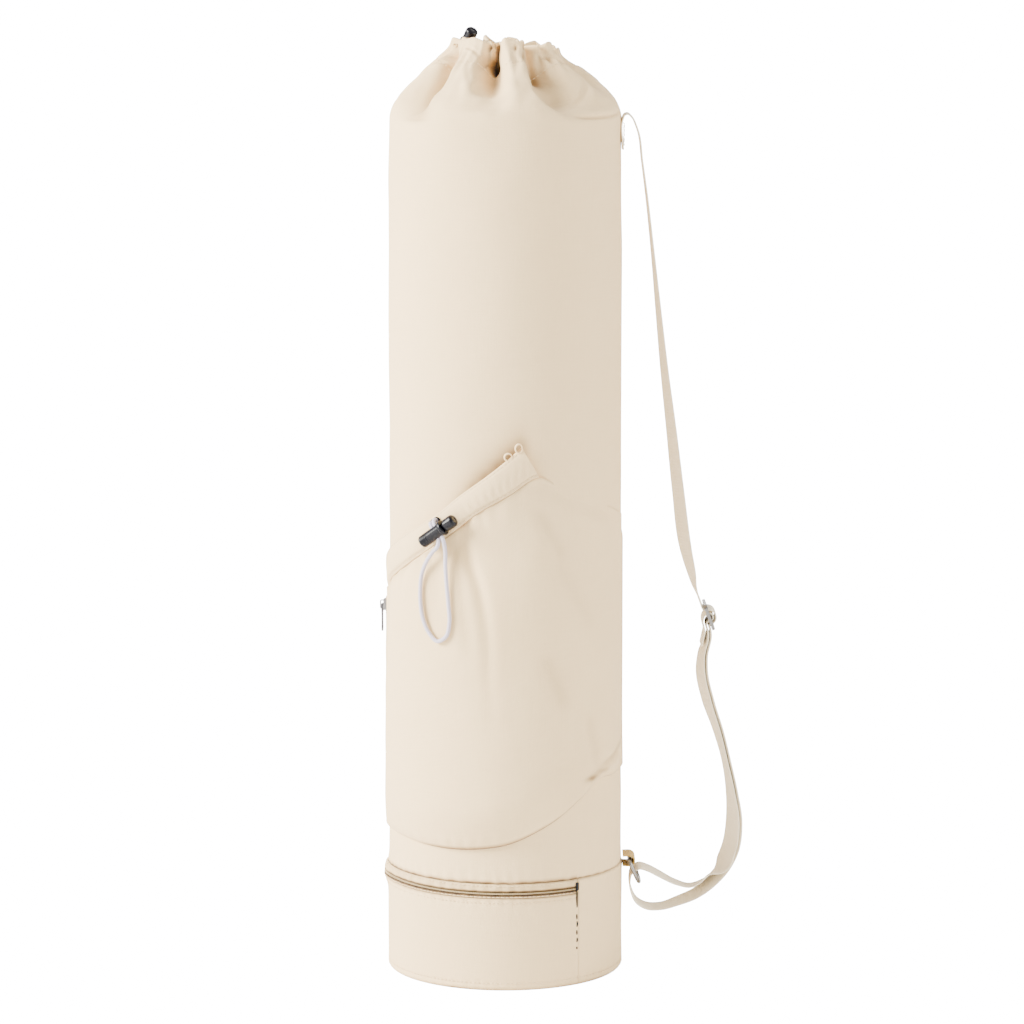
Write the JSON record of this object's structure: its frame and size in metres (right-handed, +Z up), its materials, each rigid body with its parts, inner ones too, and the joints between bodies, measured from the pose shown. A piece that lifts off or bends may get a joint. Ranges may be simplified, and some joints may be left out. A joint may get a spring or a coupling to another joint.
{
  "type": "yoga mat bag",
  "caption": "Tall round drawstring yoga mat bag in cream canvas with a slanted corded bottle pocket, a zipped base section and a webbing shoulder strap",
  "frame": {"origin": "centre of the flat base, on the floor", "axes": "+Z up along the bag, front with the bottle pocket faces -Y, strap on the +X side"},
  "size_m": [0.2611, 0.1843, 0.6738],
  "materials": {
    "canvas": "matte cream cotton canvas",
    "webbing": "woven cream cotton webbing",
    "elastic": "braided grey-white elastic cord",
    "zip_tape": "woven cream zip tape",
    "zip_coil": "cream nylon coil",
    "black_plastic": "smooth black plastic",
    "black_metal": "black painted metal",
    "gunmetal": "dark coated metal",
    "nickel": "bright nickel plate"
  },
  "bodies": {
    "bag": {"body_panel": "canvas", "base_wall": "canvas", "base_panel": "canvas", "pocket_panel": "canvas", "pocket_hem": "canvas", "pocket_eyelet": "black_metal", "pocket_cord": "elastic", "pocket_lock_barrel": "black_plastic", "neck_cord": "elastic", "neck_lock_barrel": "black_plastic", "base_zip_tape_upper": "zip_tape", "base_zip_tape_lower": "zip_tape", "base_zip_coil": "zip_coil", "base_zip_end_stop": "black_plastic", "base_zip_slider": "gunmetal", "side_zip_tape": "zip_tape", "side_zip_coil": "zip_coil", "side_zip_slider": "gunmetal", "strap": "webbing", "strap_slider": "nickel", "ring_tab": "webbing", "d_ring": "nickel"},
    "pocket_plunger": {"pocket_lock_plunger": "black_plastic"},
    "neck_plunger": {"neck_lock_plunger": "black_plastic"},
    "side_puller": {"side_zip_puller": "gunmetal"},
    "base_puller": {"base_zip_puller": "gunmetal"}
  },
  "joints": [
    {"name": "pocket_lock_press", "type": "slide", "parent": "bag", "child": "pocket_plunger", "axis": [-0.7309, 0.3739, -0.5709], "range_m": [0, 0.0016], "stiffness_N_per_m": 400},
    {"name": "neck_lock_press", "type": "slide", "parent": "bag", "child": "neck_plunger", "axis": [-0.3689, 0.5268, -0.7658], "range_m": [0, 0.0016], "stiffness_N_per_m": 400},
    {"name": "side_puller_swing", "type": "hinge", "parent": "bag", "child": "side_puller", "pos_m": [-0.08812, 0.00926, 0.262], "axis": [0.1045, 0.9945, 0], "range_deg": [0, 150]},
    {"name": "base_puller_swing", "type": "hinge", "parent": "bag", "child": "base_puller", "pos_m": [-0.04604, 0.07506, 0.0703], "axis": [0, 0, -1], "range_deg": [0, 150]}
  ]
}
